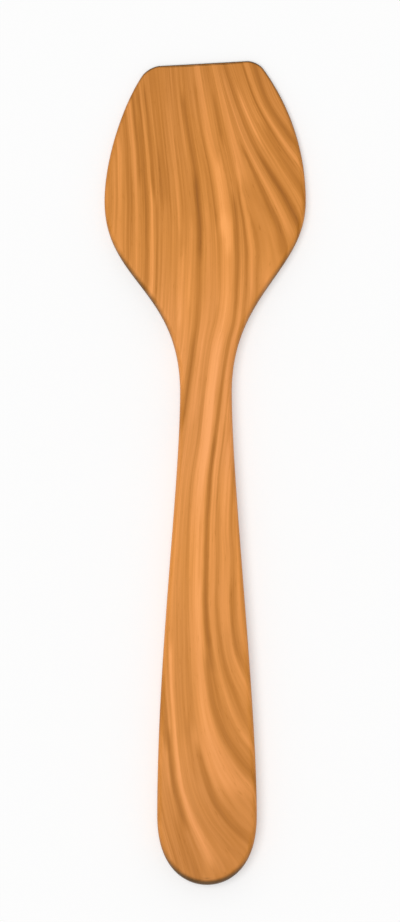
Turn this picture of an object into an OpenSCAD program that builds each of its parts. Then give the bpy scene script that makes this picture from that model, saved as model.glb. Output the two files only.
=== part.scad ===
// A wok spatula carved from one board: a broad blade with a slanted working edge, a narrow neck,
// and a handle that swells towards a rounded end. The underside is planed flat, and the top
// tapers down to a thin working edge. Lengths are millimetres, angles are degrees.
// +Y runs along the board towards the working edge, and +Z out of its top.

/* [Board] */
// Length along the middle line, from the handle's end to the working edge
total_length = 319; // [290:1:350]
// Thickness of the handle and the neck
board_thickness = 9; // [7:0.5:12]
// Radius of the rounded edges along the handle
edge_round = 2.5; // [1.5:0.1:3.5]
// Height by which the handle's top swells along its middle
crown = 0.4; // [0.1:0.1:1]

/* [Blade] */
// Greatest width of the blade
blade_width = 78; // [66:1:92]
// From the working edge down to the narrowest place of the neck
blade_length = 128.5; // [116:0.5:145]
// From the working edge down to the widest place of the blade
widest_below_edge = 54; // [44:0.5:62]

/* [Working edge] */
// Thickness of the wood at the working edge
tip_thickness = 2; // [1.5:0.1:3.5]
// From the working edge back to where the board has its full thickness
taper_length = 160; // [110:5:180]
// Slant of the working edge, up towards the right
edge_slant = 3.2; // [0:0.1:8]
// From the middle line to the left corner
left_corner = 21.7; // [16:0.1:27]
// From the middle line to the right corner
right_corner = 20.1; // [16:0.1:27]
// Length that each rounded corner takes off the working edge
corner_round = 4; // [2:0.1:7]

/* [Neck] */
// Width of the neck at its narrowest place
neck_width = 20; // [15:0.5:28]
// How far the hand-shaped neck stands to the right of the middle line
neck_shift = 0.3; // [0:0.1:1.5]

/* [Handle] */
// Greatest width of the handle
handle_width = 38.4; // [30:0.1:46]
// From the handle's end up to its widest place
widest_above_end = 26.5; // [20:0.5:34]
// How far the hand-shaped handle stands to the right of the middle line
handle_shift = 0.7; // [0:0.1:1.5]

/* [Hidden] */

// Signs of x on the left and the right side, in the order of the pairs below
SIDES = [-1, 1];

// Angle from the length at which the blade's cheek leaves the corner, left and right
cheek_lean = [41, 38];
// How far each curve runs on before it bends, as a share of its stretch, left and right
cheek_start = [0.24, 0.49];
cheek_finish = [0.35, 0.22];
shoulder_start = [0.42, 0.365];
shoulder_finish = [0.54, 0.52];
grip_start = [0.22, 0.22];
grip_finish = [0.38, 0.27];
// The same for the rounded end, along its height and along half its width
end_start = 0.75;
end_finish = 0.45;
// The same for the rounded corners
corner_pull = 0.55;
// Speed at which a curve leaves its first point, for each length that it runs on before it bends
start_speed = 3;

// Steps along the corner, cheek, shoulder, grip and rounded end of a side
corner_steps = 5;
cheek_steps = 14;
shoulder_steps = 24;
grip_steps = 24;
end_steps = 14;
// Steps across the board, and round a quarter of an edge
columns = 12;
round_steps = 4;

// Largest radius of a rounded edge, as a share of the wood's thickness there
round_share = 0.45;
// Steepness of the taper where it starts at the working edge, easing to level at its end
taper_rise = 1.5;
// Wood below the underside before it is planed flat, and room round the board for the plane's cut
planing = 0.5;
room = 5;

// Height along y of the working edge's line, x to the right of the middle line
function edge_y(x) = total_length + tan(edge_slant) * x;

// Thickness of the board over the place p, without its crown
function thickness(p) =
    let (run = min(1, max(0, (edge_y(p.x) - p.y) / taper_length)))
    tip_thickness + (board_thickness - tip_thickness) * (taper_rise * run - (taper_rise - 1) * run ^ 3);

// Radius of the rounded edge at the place p
function round_at(p) = min(edge_round, round_share * thickness(p));

// Place at the share t of a curve with four control points
function bezier(p, t) =
    let (u = 1 - t)
    u ^ 3 * p[0] + 3 * u * u * t * p[1] + 3 * u * t * t * p[2] + t ^ 3 * p[3];

// Places along such a curve from the share first, without its end
function curve(p, steps, first = 0) =
    [for (i = [0:steps - 1]) bezier(p, first + (1 - first) * i / steps)];

// Middle of the handle's rounded end
TIP = [handle_shift, 0];

// One side of the outline, from the straight working edge down to just before the handle's tip
function side(s) =
    let (
        sign = SIDES[s],
        corner_x = sign * [left_corner, right_corner][s],
        corner = [corner_x, edge_y(corner_x)],
        widest = [sign * blade_width / 2, total_length - widest_below_edge],
        neck = [neck_shift + sign * neck_width / 2, total_length - blade_length],
        grip = [handle_shift + sign * handle_width / 2, widest_above_end],
        cheek_y = corner.y - widest.y,
        shoulder_y = widest.y - neck.y,
        grip_y = neck.y - grip.y,
        cheek_run = cheek_start[s] * cheek_y,
        cheek = [
            corner,
            corner + cheek_run * [sign * sin(cheek_lean[s]), -cos(cheek_lean[s])],
            widest + [0, cheek_finish[s] * cheek_y],
            widest
        ],
        shoulder = [
            widest,
            widest - [0, shoulder_start[s] * shoulder_y],
            neck + [0, shoulder_finish[s] * shoulder_y],
            neck
        ],
        handle = [
            neck,
            neck - [0, grip_start[s] * grip_y],
            grip + [0, grip_finish[s] * grip_y],
            grip
        ],
        end = [
            grip,
            grip - [0, end_start * grip.y],
            TIP + [sign * end_finish * handle_width / 2, 0],
            TIP
        ],
        cut = corner_round / (start_speed * cheek_run),
        cut_place = bezier(cheek, cut),
        edge_x = corner_x - sign * corner_round,
        edge_place = [edge_x, edge_y(edge_x)],
        rounding = [
            edge_place,
            edge_place + corner_pull * (corner - edge_place),
            cut_place + corner_pull * (corner - cut_place),
            cut_place
        ]
    )
    concat(
        curve(rounding, corner_steps),
        curve(cheek, cheek_steps, cut),
        curve(shoulder, shoulder_steps),
        curve(handle, grip_steps),
        curve(end, end_steps)
    );

LEFT = side(0);
RIGHT = side(1);
LAST = len(LEFT) - 1;

// Counter-clockwise outline seen from above: along the working edge from right to left, down the
// left side, round the tip, and up the right side
OUTLINE = concat(
    [for (c = [0:columns]) RIGHT[0] + (LEFT[0] - RIGHT[0]) * c / columns],
    [for (i = [1:LAST]) LEFT[i]],
    [TIP],
    [for (i = [LAST:-1:1]) RIGHT[i]]
);
COUNT = len(OUTLINE);

// Places in the outline of the points that left and right have on one row, and of the tip
function left_place(row) = columns + row;
function right_place(row) = (COUNT - row) % COUNT;
TIP_PLACE = columns + LAST + 1;

// Outward direction of the outline at a point
function outward(i) =
    let (
        along = OUTLINE[(i + 1) % COUNT] - OUTLINE[(i + COUNT - 1) % COUNT]
    )
    [along.y, -along.x] / norm(along);

OUTWARD = [for (i = [0:COUNT - 1]) outward(i)];

// Rings round the board from below the underside to the top face. Each has its angle round the
// edge's quarter, and whether it belongs to the top's rounding.
ANGLES = [for (k = [1:round_steps]) 90 * k / round_steps];
RINGS = concat(
    [[0, false]],
    [for (a = ANGLES) [a, false]],
    [[0, true]],
    [for (a = ANGLES) [a, true]]
);

function ring_point(ring, i) =
    let (
        p = OUTLINE[i],
        r = round_at(p),
        angle = ring[0],
        over = ring[1],
        inset = r * (1 - (over ? cos(angle) : sin(angle))),
        q = p - inset * OUTWARD[i],
        under_z = angle == 0 ? -planing : r * (1 - cos(angle)),
        z = over ? thickness(q) - r * (1 - sin(angle)) : under_z
    )
    [q.x, q.y, z];

RING_POINTS = [for (ring = RINGS) for (i = [0:COUNT - 1]) ring_point(ring, i)];
TOP_RING = (len(RINGS) - 1) * COUNT;

// Points inside the top face, between the left and the right of each row
function top_point(row, c) =
    let (
        a = RING_POINTS[TOP_RING + left_place(row)],
        b = RING_POINTS[TOP_RING + right_place(row)],
        u = 2 * c / columns - 1,
        p = a + (b - a) * c / columns,
        swell = min(1, norm(b - a) / handle_width) * thickness(p) / board_thickness
    )
    [p.x, p.y, thickness(p) + crown * swell * (1 - u * u)];

TOP_POINTS = [for (row = [1:LAST]) for (c = [1:columns - 1]) top_point(row, c)];

// Place in the whole list of the top face's point on a row and column
function top_place(row, c) =
    row == 0 ? TOP_RING + columns - c :
    c == 0 ? TOP_RING + left_place(row) :
    c == columns ? TOP_RING + right_place(row) :
    len(RING_POINTS) + (row - 1) * (columns - 1) + c - 1;

SIDE_FACES = [
    for (k = [0:len(RINGS) - 2]) for (i = [0:COUNT - 1])
        let (
            a = k * COUNT + i,
            b = k * COUNT + (i + 1) % COUNT
        )
        [a, a + COUNT, b + COUNT, b]
];

TOP_FACES = concat(
    [
        for (row = [0:LAST - 1]) for (c = [0:columns - 1])
            [top_place(row, c), top_place(row, c + 1), top_place(row + 1, c + 1), top_place(row + 1, c)]
    ],
    [for (c = [0:columns - 1]) [top_place(LAST, c), top_place(LAST, c + 1), TOP_RING + TIP_PLACE]]
);

UNDER_FACES = concat(
    [concat([left_place(1), right_place(1)], [for (i = [0:columns]) i])],
    [
        for (row = [1:LAST - 1])
            [left_place(row), left_place(row + 1), right_place(row + 1), right_place(row)]
    ],
    [[left_place(LAST), TIP_PLACE, right_place(LAST)]]
);

// Middle of the outline's box, which comes to x = 0 and y = 0
X = [for (p = OUTLINE) p.x];
Y = [for (p = OUTLINE) p.y];
MIDDLE = [(min(X) + max(X)) / 2, (min(Y) + max(Y)) / 2];

// The board with rounded edges, before its underside is planed
module carved_board() {
    polyhedron(
        points = concat(RING_POINTS, TOP_POINTS),
        faces = concat(SIDE_FACES, TOP_FACES, UNDER_FACES)
    );
}

// The wood that the plane leaves, above the flat underside
module above_underside() {
    translate([min(X) - room, min(Y) - room, 0])
        cube([max(X) - min(X) + 2 * room, max(Y) - min(Y) + 2 * room, board_thickness + crown + room]);
}

module spatula() {
    color("peru")
    translate([-MIDDLE.x, -MIDDLE.y, 0])
    intersection() {
        carved_board();
        above_underside();
    }
}

spatula();
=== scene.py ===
"""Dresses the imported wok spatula: the carved board, its wood grain, and the floor, light and camera."""

import math

import bpy
import numpy as np
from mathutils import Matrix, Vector


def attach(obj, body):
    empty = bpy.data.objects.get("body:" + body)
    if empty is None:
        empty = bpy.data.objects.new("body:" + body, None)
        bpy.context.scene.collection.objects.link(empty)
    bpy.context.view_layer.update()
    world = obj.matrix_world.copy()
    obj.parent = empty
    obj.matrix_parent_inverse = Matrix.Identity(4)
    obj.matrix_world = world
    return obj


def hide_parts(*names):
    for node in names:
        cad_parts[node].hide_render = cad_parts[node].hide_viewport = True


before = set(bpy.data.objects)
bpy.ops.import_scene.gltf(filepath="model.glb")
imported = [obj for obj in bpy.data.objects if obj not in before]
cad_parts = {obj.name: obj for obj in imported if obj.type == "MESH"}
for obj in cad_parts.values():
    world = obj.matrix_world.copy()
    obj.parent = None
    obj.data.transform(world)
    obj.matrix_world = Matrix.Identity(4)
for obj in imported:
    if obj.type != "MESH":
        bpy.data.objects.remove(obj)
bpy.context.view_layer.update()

# Lengths are millimetres, with x = 0 on the blade's middle line and y = 0 at the handle's end,
# until the finished mesh is moved into the frame in metres
MM = 0.001

# The board
LENGTH = 319.0
THICKNESS = 9.0
EDGE_ROUND = 2.5
CROWN = 0.4
BLADE_WIDTH = 78.0
BLADE_LENGTH = 128.5
WIDEST_BELOW_EDGE = 54.0
TIP_THICKNESS = 2.0
TAPER_LENGTH = 160.0
TAPER_RISE = 1.5
EDGE_SLANT = math.radians(3.2)
CORNER_ROUND = 4.0
CORNER_PULL = 0.55
NECK_WIDTH = 20.0
NECK_SHIFT = 0.3
HANDLE_WIDTH = 38.4
WIDEST_ABOVE_END = 26.5
HANDLE_SHIFT = 0.7
END_START = 0.75
END_FINISH = 0.45
ROUND_SHARE = 0.45
# Speed at which a curve leaves its first point, for each length that it runs on before it bends
START_SPEED = 3

# What differs between the left and the right side: the sign of x, the corner's distance from the
# middle line, the cheek's lean, and how far each curve runs on before it bends, as shares of its stretch
SIDES = [
    {"sign": -1, "corner": 21.7, "lean": math.radians(41), "cheek": (0.24, 0.35),
     "shoulder": (0.42, 0.54), "grip": (0.22, 0.38)},
    {"sign": 1, "corner": 20.1, "lean": math.radians(38), "cheek": (0.49, 0.22),
     "shoulder": (0.365, 0.52), "grip": (0.22, 0.27)},
]

# Steps along the corner, cheek, shoulder, grip and rounded end, across the board, round a quarter of
# an edge and down the straight part of its wall
CORNER_STEPS = 10
CHEEK_STEPS = 36
SHOULDER_STEPS = 56
GRIP_STEPS = 64
END_STEPS = 36
COLUMNS = 36
ROUND_STEPS = 8
WALL_STEPS = 4

# Unevenness that hand sanding leaves: height of the waves on the top, share of the edge's radius, and how
# much closer together the waves of the edge's radius stand along x and y
SANDING_WAVE = 0.06
ROUND_WAVE = 0.1
ROUND_WAVE_X = 3
ROUND_WAVE_Y = 2
# The waves: turns of their angle for each millimetre along x and y, in radians, and their angle at 0
WAVES = [(1 / 7.1, 1 / 31, 0.0), (-1 / 23, 1 / 17.3, 0.0), (0.0, 1 / 41, 2.2)]


def edge_y(x):
    """Height along y of the working edge's line."""
    return LENGTH + math.tan(EDGE_SLANT) * x


def thickness(x, y):
    """Thickness of the board over the places x, y, without its crown."""
    run = np.clip((edge_y(x) - y) / TAPER_LENGTH, 0, 1)
    return TIP_THICKNESS + (THICKNESS - TIP_THICKNESS) * (TAPER_RISE * run - (TAPER_RISE - 1) * run**3)


def bezier(points, t):
    """Places at the shares t of a curve with four control points."""
    t = np.asarray(t)[..., None]
    u = 1 - t
    a, b, c, d = (np.asarray(p, float) for p in points)
    return u**3 * a + 3 * u**2 * t * b + 3 * u * t**2 * c + t**3 * d


def curve(points, steps, first=0.0):
    """Places along such a curve from the share first, without its end."""
    return bezier(points, first + (1 - first) * np.arange(steps) / steps)


def side_outline(side):
    """One side of the outline, from the straight working edge down to just before the handle's tip."""
    sign = side["sign"]
    corner_x = sign * side["corner"]
    corner = np.array([corner_x, edge_y(corner_x)])
    widest = np.array([sign * BLADE_WIDTH / 2, LENGTH - WIDEST_BELOW_EDGE])
    neck = np.array([NECK_SHIFT + sign * NECK_WIDTH / 2, LENGTH - BLADE_LENGTH])
    grip = np.array([HANDLE_SHIFT + sign * HANDLE_WIDTH / 2, WIDEST_ABOVE_END])
    tip = np.array([HANDLE_SHIFT, 0.0])
    up = np.array([0.0, 1.0])
    across = np.array([float(sign), 0.0])
    cheek_y = corner[1] - widest[1]
    shoulder_y = widest[1] - neck[1]
    grip_y = neck[1] - grip[1]
    cheek_run = side["cheek"][0] * cheek_y
    leaving = np.array([sign * math.sin(side["lean"]), -math.cos(side["lean"])])
    cheek = [corner, corner + cheek_run * leaving, widest + side["cheek"][1] * cheek_y * up, widest]
    shoulder = [
        widest,
        widest - side["shoulder"][0] * shoulder_y * up,
        neck + side["shoulder"][1] * shoulder_y * up,
        neck,
    ]
    handle = [neck, neck - side["grip"][0] * grip_y * up, grip + side["grip"][1] * grip_y * up, grip]
    end = [grip, grip - END_START * grip[1] * up, tip + END_FINISH * HANDLE_WIDTH / 2 * across, tip]
    cut = CORNER_ROUND / (START_SPEED * cheek_run)
    cut_place = bezier(cheek, cut)
    edge_x = corner_x - sign * CORNER_ROUND
    edge_place = np.array([edge_x, edge_y(edge_x)])
    rounding = [
        edge_place,
        edge_place + CORNER_PULL * (corner - edge_place),
        cut_place + CORNER_PULL * (corner - cut_place),
        cut_place,
    ]
    return np.concatenate([
        curve(rounding, CORNER_STEPS),
        curve(cheek, CHEEK_STEPS, cut),
        curve(shoulder, SHOULDER_STEPS),
        curve(handle, GRIP_STEPS),
        curve(end, END_STEPS),
    ])


def board_outline():
    """Counter-clockwise outline seen from above, from the right end of the working edge, and the number
    of rows down each side."""
    left, right = (side_outline(side) for side in SIDES)
    share = np.arange(COLUMNS + 1)[:, None] / COLUMNS
    edge = right[0] + (left[0] - right[0]) * share
    tip = np.array([[HANDLE_SHIFT, 0.0]])
    return np.concatenate([edge, left[1:], tip, right[:0:-1]]), len(left)


def outward_directions(outline):
    """Unit directions out of the outline at its points."""
    along = np.roll(outline, -1, axis=0) - np.roll(outline, 1, axis=0)
    out = np.stack([along[:, 1], -along[:, 0]], axis=1)
    return out / np.linalg.norm(out, axis=1)[:, None]


def sanding_wave(x, y):
    """Shallow waves over the board's top, from -1 to 1."""
    return sum(np.sin(turn_x * x + turn_y * y + start) for turn_x, turn_y, start in WAVES) / len(WAVES)


class Board:
    """Points of the carved board, with where each lies on the two unrolled halves of its surface."""

    def __init__(self):
        self.outline, self.rows = board_outline()
        self.count = len(self.outline)
        self.out = outward_directions(self.outline)
        self.points = []
        self.top_places = []
        self.under_places = []
        self.faces = []
        self.face_is_top = []
        self.add_rings()
        self.add_grids()
        self.points = np.concatenate(self.points)
        self.top_places = np.concatenate(self.top_places)
        self.under_places = np.concatenate(self.under_places)

    def add_rings(self):
        """Rings from the underside's rim, round its lower edge, up the wall and round the upper edge."""
        x, y = self.outline.T
        thick = thickness(x, y)
        radius = np.minimum(EDGE_ROUND, ROUND_SHARE * thick)
        uneven = 0.5 + 0.5 * sanding_wave(ROUND_WAVE_X * x, ROUND_WAVE_Y * y)
        radius = radius * (1 - ROUND_WAVE * uneven)
        wall = thick - 2 * radius
        quarter = math.pi / 2
        for step in range(ROUND_STEPS):
            turn = quarter * step / ROUND_STEPS
            inset = radius * (1 - math.sin(turn))
            height = radius * (1 - math.cos(turn))
            self.add_ring(radius, inset, height, radius * turn)
        for step in range(WALL_STEPS):
            rise = wall * step / WALL_STEPS
            self.add_ring(radius, 0 * radius, radius + rise, quarter * radius + rise)
        for step in range(ROUND_STEPS + 1):
            turn = quarter * step / ROUND_STEPS
            drop = radius * (1 - math.sin(turn))
            inset = radius * (1 - math.cos(turn))
            self.add_ring(radius, inset, None, quarter * radius + wall + radius * turn, drop)
        rings = 2 * ROUND_STEPS + WALL_STEPS + 1
        middle = ROUND_STEPS + WALL_STEPS // 2
        for ring in range(rings - 1):
            for i in range(self.count):
                a = ring * self.count + i
                b = ring * self.count + (i + 1) % self.count
                self.add_face([a, b, b + self.count, a + self.count], ring >= middle)
        self.top_ring = (rings - 1) * self.count

    def add_ring(self, radius, inset, height, climbed, drop=None):
        """A ring set in from the outline. A ring of the top's rounding has its drop below the top instead
        of its height. Climbed is the way from the underside's rim up to the ring along the surface."""
        place = self.outline - inset[:, None] * self.out
        if height is None:
            height = thickness(*place.T) - drop
        whole = math.pi * radius + thickness(*self.outline.T) - 2 * radius
        rim = self.outline - radius[:, None] * self.out
        self.points.append(np.column_stack([place, height]))
        self.top_places.append(rim + (whole - climbed)[:, None] * self.out)
        self.under_places.append(rim + climbed[:, None] * self.out)

    def add_grids(self):
        """The flat underside and the crowned top, between the left and the right point of each row."""
        share = np.arange(1, COLUMNS)[:, None] / COLUMNS
        across = 2 * share[:, 0] - 1
        for top in (False, True):
            ring = self.points[2 * ROUND_STEPS + WALL_STEPS] if top else self.points[0]
            first = sum(len(p) for p in self.points)
            for row in range(1, self.rows):
                left = ring[COLUMNS + row, :2]
                right = ring[self.count - row, :2]
                place = left + (right - left) * share
                height = np.zeros(len(place))
                if top:
                    thick = thickness(*place.T)
                    swell = min(1, np.linalg.norm(right - left) / HANDLE_WIDTH) * thick / THICKNESS
                    bulge = CROWN + SANDING_WAVE * sanding_wave(*place.T)
                    height = thick + bulge * swell * (1 - across**2)
                self.points.append(np.column_stack([place, height]))
                self.top_places.append(place)
                self.under_places.append(place)
            self.add_grid_faces(top, first)

    def add_grid_faces(self, top, first):
        """Joins the grid that starts at the point first to the ring round it."""
        ring = self.top_ring if top else 0

        def place(row, column):
            if row == 0:
                return ring + COLUMNS - column
            if column == 0:
                return ring + COLUMNS + row
            if column == COLUMNS:
                return ring + self.count - row
            return first + (row - 1) * (COLUMNS - 1) + column - 1

        for column in range(COLUMNS):
            for row in range(self.rows - 1):
                corners = [place(row, column), place(row + 1, column)]
                corners += [place(row + 1, column + 1), place(row, column + 1)]
                self.add_face(corners if top else corners[::-1], top)
            tip = ring + COLUMNS + self.rows
            corners = [place(self.rows - 1, column), tip, place(self.rows - 1, column + 1)]
            self.add_face(corners if top else corners[::-1], top)

    def add_face(self, corners, top):
        self.faces.append(corners)
        self.face_is_top.append(top)


# Lines along which the growth rings run over the top, read in the photograph. Each has its place
# across the grain and then points y, x, with y from the middle of the board's length.
GUIDES = [
    (-22, [(160, -27.3), (140, -25.3), (120, -23.5), (100, -22.6), (80, -22.5), (60, -23.3), (40, -25.5),
           (10, -29), (-60, -34), (-100, -33.5), (-130, -30), (-165, -22)]),
    (-2, [(160, -9.6), (145, -8.3), (130, -6.4), (110, -3.5), (90, -2), (75, -2.4), (60, -3), (45, -4.7),
          (30, -6.8), (10, -9.6), (-20, -12.5), (-50, -14.5), (-75, -14.9), (-100, -13.8), (-120, -11.9),
          (-135, -8.6), (-150, -3.2), (-165, 2.5)]),
    (5, [(160, -5), (145, -3.1), (130, -0.8), (117, 2), (105, 3.8), (93, 5), (80, 5.6), (70, 5.7), (60, 4.8),
         (48, 2.1), (32, 0), (13, -2), (-6, -4.7), (-22, -5.7), (-50, -6.7), (-70, -6.1), (-90, -5.1),
         (-105, -3.2), (-118, -0.3), (-128, 3.5), (-137, 9.9), (-143, 17), (-165, 50)]),
    (12, [(160, 0.8), (145, 3.7), (130, 6.5), (117, 9.3), (106, 11.2), (94, 12.3), (82, 12.7), (70, 12.3),
          (60, 11.6), (48, 8.9), (32, 6.5), (13, 4.2), (-6, 1.9), (-22, 1), (-50, 0.3), (-68, 1.5),
          (-88, 4.7), (-101, 9.2), (-113, 18.5), (-125, 34), (-165, 110)]),
    (19, [(160, 3.2), (145, 6.6), (130, 10.2), (117, 12.9), (106, 15), (94, 18.2), (83, 20.1), (71, 20.3),
          (60, 19.5), (48, 17), (32, 14.5), (13, 12.2), (-6, 10), (-22, 9.3), (-36, 10.1), (-50, 10.1),
          (-60, 10.7), (-70, 12.4), (-79, 16), (-88, 22), (-100, 31), (-165, 150)]),
    (22, [(160, 4.4), (145, 8.2), (130, 12.7), (117, 18.2), (106, 23.2), (94, 28.3), (83, 31.5), (71, 33),
          (60, 32), (48, 28), (32, 21), (13, 17.5), (-6, 15), (-22, 14), (-50, 14.7), (-60, 16), (-70, 19),
          (-80, 25), (-100, 40), (-165, 175)]),
    (28, [(160, 6.6), (145, 11.3), (130, 16.9), (117, 23.7), (106, 30.2), (94, 36), (83, 40), (60, 42),
          (32, 30), (-22, 22), (-60, 24), (-100, 50), (-165, 200)]),
    (38, [(160, 15.4), (145, 20.4), (130, 29), (117, 38.3), (106, 45), (94, 50), (60, 56), (32, 44),
          (-22, 36), (-60, 38), (-100, 64), (-165, 240)]),
]
# How far the growth rings lean to the left, and run on towards the handle, for each step down into the wood
RING_LEAN = 0.65
RING_RUN = 2.5
# Direction of the wood's fibres
FIBRES = np.array([0.06, 0.998, 0.0])


def smooth(knots, values, at):
    """Values at the places at, on smooth curves through the knots of each row that don't overshoot them."""
    gaps = np.diff(knots, axis=1)
    slopes = np.diff(values, axis=1) / gaps
    before = slopes[:, :-1]
    after = slopes[:, 1:]
    weight_before = 2 * gaps[:, 1:] + gaps[:, :-1]
    weight_after = gaps[:, 1:] + 2 * gaps[:, :-1]
    level = before * after <= 0
    shared = (weight_before + weight_after) / (
        weight_before / np.where(level, 1, before) + weight_after / np.where(level, 1, after))
    tangents = np.concatenate([slopes[:, :1], np.where(level, 0, shared), slopes[:, -1:]], axis=1)
    rows = np.arange(len(at))
    part = np.clip((knots[:, 1:-1] < at[:, None]).sum(axis=1), 0, gaps.shape[1] - 1)
    gap = gaps[rows, part]
    t = (at - knots[rows, part]) / gap
    inside = np.clip(t, 0, 1)
    start = values[rows, part]
    finish = values[rows, part + 1]
    start_tangent = tangents[rows, part] * gap
    finish_tangent = tangents[rows, part + 1] * gap
    u = 1 - inside
    bent = start * u**2 * (1 + 2 * inside) + start_tangent * inside * u**2
    bent += finish * inside**2 * (3 - 2 * inside) - finish_tangent * inside**2 * u
    return bent + start_tangent * np.minimum(t, 0) + finish_tangent * np.maximum(t - 1, 0)


def across_grain(x, y):
    """Place across the grain of points on the board's top."""
    lines = []
    for _, points in GUIDES:
        points = np.array(sorted(points), float)
        knots = np.repeat(points[None, :, 0], len(y), axis=0)
        values = np.repeat(points[None, :, 1], len(y), axis=0)
        lines.append(smooth(knots, values, y))
    places = np.repeat([[float(place) for place, _ in GUIDES]], len(y), axis=0)
    return smooth(np.stack(lines, axis=1), places, x)


def board_object():
    """The board's mesh in the frame, with its unrolled surface and its place in the grain at each point."""
    board = Board()
    low = board.outline.min(axis=0)
    high = board.outline.max(axis=0)
    middle = (low + high) / 2
    points = board.points - np.append(middle, 0)
    mesh = bpy.data.meshes.new("spatula_wood")
    mesh.from_pydata((points * MM).tolist(), [], board.faces)
    mesh.validate()
    mesh.polygons.foreach_set("use_smooth", [True] * len(mesh.polygons))
    mesh.update()
    add_unrolled(mesh, board, low, high)
    depth = thickness(*board.points[:, :2].T) - board.points[:, 2]
    x = points[:, 0] + RING_LEAN * depth
    y = points[:, 1] + RING_RUN * depth
    grain = np.column_stack([across_grain(x, y), y, depth])
    attribute = mesh.attributes.new("grain", "FLOAT_VECTOR", "POINT")
    attribute.data.foreach_set("vector", grain.astype(np.float32).ravel())
    normals = np.zeros(len(points) * 3, np.float32)
    mesh.vertex_normals.foreach_get("vector", normals)
    # How squarely each point faces along the fibres: the mask for the dark end grain and for the painted
    # shade on the edges and walls that face along the board
    attribute = mesh.attributes.new("end_grain_shade_mask", "FLOAT", "POINT")
    attribute.data.foreach_set("value", np.abs(normals.reshape(-1, 3) @ FIBRES).astype(np.float32))
    wood = bpy.data.objects.new("spatula_wood", mesh)
    bpy.context.scene.collection.objects.link(wood)
    return wood


def add_unrolled(mesh, board, low, high):
    """Lays the top with the upper half of the wall beside the underside with the lower half."""
    margin = THICKNESS
    size = high - low + 2 * margin
    half_tile = 0.5
    top = (board.top_places - low + margin) / size
    under = (board.under_places - low + margin) / size
    top[:, 0] *= half_tile
    under[:, 0] = 1 - half_tile * under[:, 0]
    layer = mesh.uv_layers.new(name="OFBake")
    uvs = np.zeros((len(mesh.loops), 2), np.float32)
    for polygon, is_top in zip(mesh.polygons, board.face_is_top):
        places = top if is_top else under
        for loop in polygon.loop_indices:
            uvs[loop] = places[mesh.loops[loop].vertex_index]
    layer.data.foreach_set("uv", uvs.ravel())


def linear(red, green, blue):
    """A colour given as it looks on a screen, from 0 to 255, as the renderer's own numbers."""
    shares = (value / 255 for value in (red, green, blue))
    return [s / 12.92 if s <= 0.04045 else ((s + 0.055) / 1.055) ** 2.4 for s in shares] + [1.0]


class Recipe:
    """Adds nodes to a material's or a group's tree one by one, so that each line reads as a formula."""

    def __init__(self, tree):
        self.tree = tree

    def node(self, kind, inputs=(), **settings):
        """A node with its settings, and its inputs by name or number as numbers or other nodes' outputs."""
        made = self.tree.nodes.new(kind)
        for name, value in settings.items():
            setattr(made, name, value)
        for name, value in dict(inputs).items():
            if isinstance(value, bpy.types.NodeSocket):
                self.tree.links.new(value, made.inputs[name])
            else:
                made.inputs[name].default_value = value
        return made

    def math(self, operation, *values, clamp=False):
        made = self.node("ShaderNodeMath", enumerate(values), operation=operation, use_clamp=clamp)
        return made.outputs[0]

    def rise(self, value, low=0.0, high=1.0, start=0.0, finish=1.0):
        """Start below low, finish above high, and a smooth step between them."""
        inputs = {"Value": value, "From Min": low, "From Max": high, "To Min": start, "To Max": finish}
        return self.node("ShaderNodeMapRange", inputs, interpolation_type="SMOOTHSTEP").outputs["Result"]

    def noise(self, place, detail=2.0):
        """Noise round 0, mostly within half of 1 to each side."""
        made = self.node("ShaderNodeTexNoise", {"Vector": place, "Scale": 1.0, "Detail": detail})
        return self.math("MULTIPLY_ADD", made.outputs[0], 2.0, -1.0)

    def place(self, x, y, z):
        return self.node("ShaderNodeCombineXYZ", {0: x, 1: y, 2: z}).outputs[0]

    def ramp(self, value, stops):
        """Colours at shares from 0 to 1, blended between."""
        made = self.node("ShaderNodeValToRGB", {"Fac": value})
        elements = made.color_ramp.elements
        elements.remove(elements[-1])
        elements[0].position, elements[0].color = stops[0]
        for share, colour in stops[1:]:
            elements.new(share).color = colour
        return made.outputs["Color"]

    def blend(self, share, first, second, mode="MIX"):
        """The first colour with its share of the second, by the mode."""
        inputs = {0: share, 6: first, 7: second}
        return self.node("ShaderNodeMix", inputs, data_type="RGBA", blend_type=mode).outputs[2]


def new_material(name):
    """A material without nodes yet, and the recipe that adds them."""
    material = bpy.data.materials.new(name)
    material.use_nodes = True
    material.node_tree.nodes.clear()
    return material, Recipe(material.node_tree)


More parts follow.
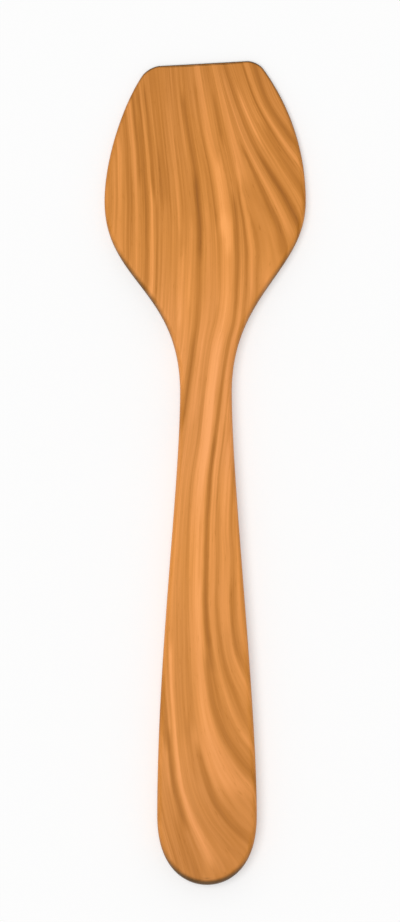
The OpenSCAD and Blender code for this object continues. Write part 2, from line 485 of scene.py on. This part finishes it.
# Growth lines and lighter bands: place across the grain, reach to each side, tone that the line adds,
# and the stretch of y over which it shows
VEINS = [
    (-34.6, 1.2, 0.14, 85, 122), (-32.2, 1.6, 0.22, 84, 128), (-28.8, 1.8, -0.18, 80, 148),
    (-26.3, 1.4, 0.18, 78, 150), (-24.7, 1.0, -0.28, 112, 148), (-23.2, 1.7, -0.16, 70, 135),
    (-21.9, 1.2, -0.30, 68, 148), (-20.9, 0.9, 0.12, 110, 162), (-20.0, 1.1, 0.26, 66, 110),
    (-19.0, 1.2, -0.34, 106, 150), (-18.1, 1.0, -0.22, 66, 104), (-16.9, 0.7, 0.10, 92, 108),
    (-15.9, 0.9, -0.18, 100, 124), (-15.0, 4.5, -0.10, 104, 156), (-12.7, 0.8, -0.10, 96, 120),
    (-9.9, 1.3, 0.14, 92, 142), (-8.6, 2.0, 0.18, 56, 84), (-5.4, 2.0, 0.12, 64, 96),
    (-8.4, 0.8, -0.10, 96, 130), (-2.2, 1.9, -0.36, 18, 146), (-2.5, 2.3, -0.24, 82, 114),
    (-2.7, 2.8, -0.16, 10, 50), (0.6, 1.6, 0.14, 45, 102), (4.2, 1.2, -0.24, 94, 150),
    (4.4, 1.3, -0.18, -100, 62), (6.5, 2.4, 0.26, 92, 170), (8.2, 2.4, 0.28, 84, 120),
    (7.6, 3.6, 0.24, -125, 98), (9.0, 1.4, 0.14, -18, 52), (9.3, 1.4, 0.12, -70, -44),
    (11.6, 1.8, -0.34, -76, 106), (11.8, 1.5, -0.26, -70, 12), (11.8, 1.6, -0.26, 128, 146),
    (10.9, 2.4, -0.30, -122, -74), (13.5, 1.0, 0.12, -108, 40), (14.9, 1.1, -0.18, -100, 18),
    (13.0, 0.9, 0.12, 58, 96), (15.3, 1.5, -0.22, 52, 108), (17.7, 1.2, 0.18, 68, 114),
    (19.0, 0.8, -0.18, 66, 98), (20.2, 0.9, 0.14, 70, 104), (22.0, 1.2, -0.42, 82, 126),
    (18.0, 5.0, 0.22, 112, 170), (24.4, 2.0, 0.18, 92, 154), (28.4, 2.4, -0.24, 92, 168),
    (28.5, 2.2, -0.22, 92, 122), (31.3, 1.7, 0.26, 128, 147), (34.4, 2.2, -0.26, 104, 134),
    (36.4, 1.0, -0.20, 118, 160), (38.0, 1.2, 0.22, 116, 166), (41.2, 2.8, -0.24, 126, 166),
    (17.3, 2.0, 0.10, -62, 12), (19.3, 1.3, -0.24, -80, 8), (19.2, 1.2, -0.14, -74, -44),
    (21.0, 1.2, 0.12, -72, -8), (2.4, 3.0, -0.10, -104, 20), (-0.5, 1.1, 0.32, -154, -68),
    (-2.2, 1.3, -0.36, -138, -102), (-3.4, 1.8, -0.24, -106, -68), (-3.9, 1.0, 0.18, -122, -108),
    (4.8, 1.1, -0.30, -144, -108), (3.1, 0.9, -0.14, -120, -98), (-3.8, 1.8, -0.14, -160, -136),
]
# Length over which a line fades out at each end
VEIN_FADE = 9.0
# Brightness along the board, from the handle's end to the working edge: y, tone. Darker towards both ends
# and lightest around the neck
BASE_TONES = [(-160, 0.36), (-150, 0.42), (-135, 0.5), (-110, 0.58), (-75, 0.58), (-50, 0.66), (-20, 0.7),
              (10, 0.74), (40, 0.74), (60, 0.67), (80, 0.56), (100, 0.5), (140, 0.47), (160, 0.4)]
# The wood's colour from its darkest to its lightest tone, as shares of the range and screen colours
PALETTE = [(0.0, (140, 80, 10)), (0.2, (167, 100, 22)), (0.45, (193, 121, 45)), (0.62, (211, 136, 63)),
           (0.8, (230, 150, 79)), (1.0, (249, 167, 99))]
# Tones at which the palette starts and ends
PALETTE_LOW = -0.25
PALETTE_HIGH = 1.05
# How much more golden the wood is along the board: y, share
GOLD_TONES = [(-160, 0.0), (-135, 0.15), (-115, 0.4), (-90, 0.65), (-40, 0.75), (-12, 0.65), (5, 0.3),
              (45, 0.35), (65, 0.7), (90, 1.0), (130, 0.8), (160, 0.4)]
# Shares of red, green and blue that the most golden wood keeps
GOLD = (1.02, 1.01, 0.8, 1.0)


def vein_group():
    """A node group that adds one growth line to the tone so far."""
    group = bpy.data.node_groups.new("growth line", "ShaderNodeTree")
    names = ["Tone", "Across", "Along", "Place", "Reach", "Strength", "Start", "End"]
    for name in names:
        group.interface.new_socket(name, in_out="INPUT", socket_type="NodeSocketFloat")
    group.interface.new_socket("Tone", in_out="OUTPUT", socket_type="NodeSocketFloat")
    line = Recipe(group)
    given = line.node("NodeGroupInput").outputs
    distance = line.math("ABSOLUTE", line.math("SUBTRACT", given["Across"], given["Place"]))
    body = line.rise(line.math("DIVIDE", distance, given["Reach"]), start=1.0, finish=0.0)
    from_start = line.math("DIVIDE", line.math("SUBTRACT", given["Along"], given["Start"]), VEIN_FADE)
    to_end = line.math("DIVIDE", line.math("SUBTRACT", given["End"], given["Along"]), VEIN_FADE)
    shown = line.math("MULTIPLY", line.rise(from_start), line.rise(to_end))
    added = line.math("MULTIPLY", line.math("MULTIPLY", body, shown), given["Strength"])
    line.node("NodeGroupOutput", {0: line.math("ADD", given["Tone"], added)})
    return group


# Patterns of noise drawn out along the grain: steps for each millimetre across and along, and a shift that
# sets each apart from the others
WANDER = (0.12, 0.03, 17.0)
QUIVER = (0.5, 0.12, 5.0)
HUE_CHANGE = (0.1, 0.02, 41.0)
PORES = (3.4, 0.22, 31.0)
FINE_FIBRES = (4.0, 0.1, 53.0)
# How far the growth lines wander and quiver across the grain
WANDER_REACH = 0.5
QUIVER_REACH = 0.2
# Streaks between the growth lines: pattern, and the tone that it adds
STREAKS = [((0.3, 0.012, 3.0), 0.16), ((0.9, 0.018, 11.0), 0.22), ((1.6, 0.026, 23.0), 0.24)]
# How much the golden share changes from place to place
HUE_CHANGE_SHARE = 0.6
# Where in their pattern pores start and are full, the detail of that pattern, and the tone that they add
PORE_START = 0.28
PORE_FULL = 0.6
PORE_DETAIL = 1.0
PORE_TONE = -0.16
# Shares of red, green and blue that end grain keeps: the real darker end grain together with painted shade
# on the rounded edges and walls that face along the fibres. Then how squarely the fibres are cut where this
# darkening starts and is full
END_GRAIN_AND_SHADE = (0.22, 0.29, 0.5, 1.0)
CUT_START = 0.06
CUT_FULL = 0.75
# The satin skin: its roughness and how much the fibres change it, its gloss, and the fibres' relief
ROUGHNESS = 0.58
ROUGHNESS_CHANGE = 0.08
GLOSS = 0.25
FIBRE_RELIEF = 0.012


def olive_wood():
    """Oiled olive wood: growth lines along the guides, fine fibres, dark end grain with painted shade on its
    edges, and a satin skin.
    """
    material, wood = new_material("olive wood")
    grain = wood.node("ShaderNodeAttribute", attribute_name="grain").outputs["Vector"]
    across, along, depth = wood.node("ShaderNodeSeparateXYZ", {0: grain}).outputs
    end_shade_mask = wood.node("ShaderNodeAttribute", attribute_name="end_grain_shade_mask").outputs["Fac"]

    def streaks(pattern, detail=2.0):
        """Noise drawn out along the grain in one of the patterns."""
        per_across, per_along, shift = pattern
        x = wood.math("MULTIPLY_ADD", across, per_across, shift)
        y = wood.math("MULTIPLY", along, per_along)
        z = wood.math("MULTIPLY", depth, per_across)
        return wood.noise(wood.place(x, y, z), detail)

    def along_board(stops):
        """A value that changes along the board, from its list of y and value."""
        low = stops[0][0]
        span = stops[-1][0] - low
        share = wood.math("DIVIDE", wood.math("SUBTRACT", along, low), span)
        greys = wood.ramp(share, [((y - low) / span, (value, value, value, 1.0)) for y, value in stops])
        return wood.node("ShaderNodeSeparateColor", {0: greys}).outputs[0]

    wander = wood.math("MULTIPLY_ADD", streaks(WANDER), WANDER_REACH, across)
    place = wood.math("MULTIPLY_ADD", streaks(QUIVER), QUIVER_REACH, wander)
    tone = along_board(BASE_TONES)
    growth_line = vein_group()
    for where, reach, strength, start, end in VEINS:
        line = {"Tone": tone, "Across": place, "Along": along, "Place": where, "Reach": reach,
                "Strength": strength, "Start": start - VEIN_FADE / 2, "End": end + VEIN_FADE / 2}
        tone = wood.node("ShaderNodeGroup", line, node_tree=growth_line).outputs[0]
    for pattern, strength in STREAKS:
        tone = wood.math("MULTIPLY_ADD", streaks(pattern), strength, tone)
    pores = wood.rise(streaks(PORES, PORE_DETAIL), PORE_START, PORE_FULL)
    tone = wood.math("MULTIPLY_ADD", pores, PORE_TONE, tone)
    above_low = wood.math("SUBTRACT", tone, PALETTE_LOW)
    share = wood.math("DIVIDE", above_low, PALETTE_HIGH - PALETTE_LOW, clamp=True)
    colour = wood.ramp(share, [(stop, linear(*screen)) for stop, screen in PALETTE])
    golden = along_board(GOLD_TONES)
    golden = wood.math("MULTIPLY_ADD", streaks(HUE_CHANGE), HUE_CHANGE_SHARE, golden, clamp=True)
    colour = wood.blend(golden, colour, GOLD, "MULTIPLY")
    # Painted shade: this darkening stands in for the real darker end grain and also for the shade on the
    # rounded edges and walls at the shoulders, the handle's end and the working edge
    colour = wood.blend(wood.rise(end_shade_mask, CUT_START, CUT_FULL), colour, END_GRAIN_AND_SHADE, "MULTIPLY")
    fibres = streaks(FINE_FIBRES)
    relief = wood.math("SUBTRACT", fibres, pores)
    bump = wood.node("ShaderNodeBump", {"Height": relief, "Strength": 1.0, "Distance": FIBRE_RELIEF * MM})
    skin = {"Base Color": colour, "Normal": bump.outputs[0], "Specular IOR Level": GLOSS,
            "Roughness": wood.math("MULTIPLY_ADD", fibres, ROUGHNESS_CHANGE, ROUGHNESS)}
    shader = wood.node("ShaderNodeBsdfPrincipled", skin)
    wood.node("ShaderNodeOutputMaterial", {"Surface": shader.outputs[0]})
    return material


# Share of the light that the paper gives back, and share of plain white in it where the camera sees it
PAPER_WHITE = 0.97
FLOOR_LIFT = 0.3
# Half the floor's width, and how far it lies below the board so that their faces don't mix, in metres
FLOOR_REACH = 15.0
FLOOR_DROP = 0.0001


def floor_paper():
    """White paper that the board lies on, lifted a little towards white where the camera sees it."""
    material, paper = new_material("white paper")
    paper_white = (PAPER_WHITE, PAPER_WHITE, PAPER_WHITE, 1.0)
    matte = paper.node("ShaderNodeBsdfDiffuse", {"Color": paper_white}).outputs[0]
    white = paper.node("ShaderNodeEmission", {"Color": (1, 1, 1, 1), "Strength": 1.0}).outputs[0]
    seen = paper.node("ShaderNodeLightPath").outputs["Is Camera Ray"]
    share = paper.math("MULTIPLY", seen, FLOOR_LIFT)
    shown = paper.node("ShaderNodeMixShader", {0: share, 1: matte, 2: white}).outputs[0]
    paper.node("ShaderNodeOutputMaterial", {"Surface": shown})
    return material


def add_floor():
    """A wide white floor just under the board."""
    corners = [(x * FLOOR_REACH, y * FLOOR_REACH, 0) for x, y in ((-1, -1), (1, -1), (1, 1), (-1, 1))]
    mesh = bpy.data.meshes.new("floor")
    mesh.from_pydata(corners, [], [(0, 1, 2, 3)])
    floor = bpy.data.objects.new("floor", mesh)
    bpy.context.scene.collection.objects.link(floor)
    floor.location.z = -FLOOR_DROP
    mesh.materials.append(floor_paper())


# Share of the light that comes evenly from all round. The rest comes from a wide soft lamp, which spreads
# over this angle and shines from this direction.
AMBIENT = 0.42
LAMP_SPREAD = math.radians(44)
LAMP_FROM = Vector((-0.2, -0.14, 1.0)).normalized()


def add_light():
    """Even surroundings, white where the camera sees them, and a wide soft lamp a little to the left."""
    world = bpy.data.worlds.new("studio")
    bpy.context.scene.world = world
    world.use_nodes = True
    world.node_tree.nodes.clear()
    studio = Recipe(world.node_tree)
    seen = studio.node("ShaderNodeLightPath").outputs["Is Camera Ray"]
    strength = studio.math("MULTIPLY_ADD", seen, 1 - AMBIENT, AMBIENT)
    background = studio.node("ShaderNodeBackground", {"Color": (1, 1, 1, 1), "Strength": strength})
    studio.node("ShaderNodeOutputWorld", {"Surface": background.outputs[0]})
    lamp = bpy.data.lights.new("soft lamp", "SUN")
    lamp.angle = LAMP_SPREAD
    lamp.energy = math.pi * (1 - AMBIENT) / LAMP_FROM.z
    holder = bpy.data.objects.new("soft lamp", lamp)
    holder.rotation_mode = "QUATERNION"
    holder.rotation_quaternion = LAMP_FROM.to_track_quat("Z", "Y")
    bpy.context.scene.collection.objects.link(holder)


# Length of the floor that the photograph takes in, the middle of it in the frame, the camera's distance in
# metres, and its tilt towards the handle's end
VIEW_LENGTH = 356.8 * MM
VIEW_MIDDLE = Vector((-2.0 * MM, 4.25 * MM, 0.0))
CAMERA_DISTANCE = 4.0
CAMERA_TILT = math.radians(5.0)


def add_camera():
    """Camera above the board, looking down, with the working edge at the top of its view."""
    camera = bpy.data.cameras.new("camera")
    camera.lens = camera.sensor_width * CAMERA_DISTANCE / VIEW_LENGTH
    holder = bpy.data.objects.new("camera", camera)
    back = Vector((0, -math.sin(CAMERA_TILT), math.cos(CAMERA_TILT)))
    holder.location = VIEW_MIDDLE + CAMERA_DISTANCE * back
    holder.rotation_euler = (CAMERA_TILT, 0, 0)
    bpy.context.scene.collection.objects.link(holder)
    bpy.context.scene.camera = holder


spatula = board_object()
spatula.data.materials.append(olive_wood())
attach(spatula, "root")
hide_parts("spatula")

add_floor()
add_light()
add_camera()
bpy.context.scene.view_settings.view_transform = "Standard"
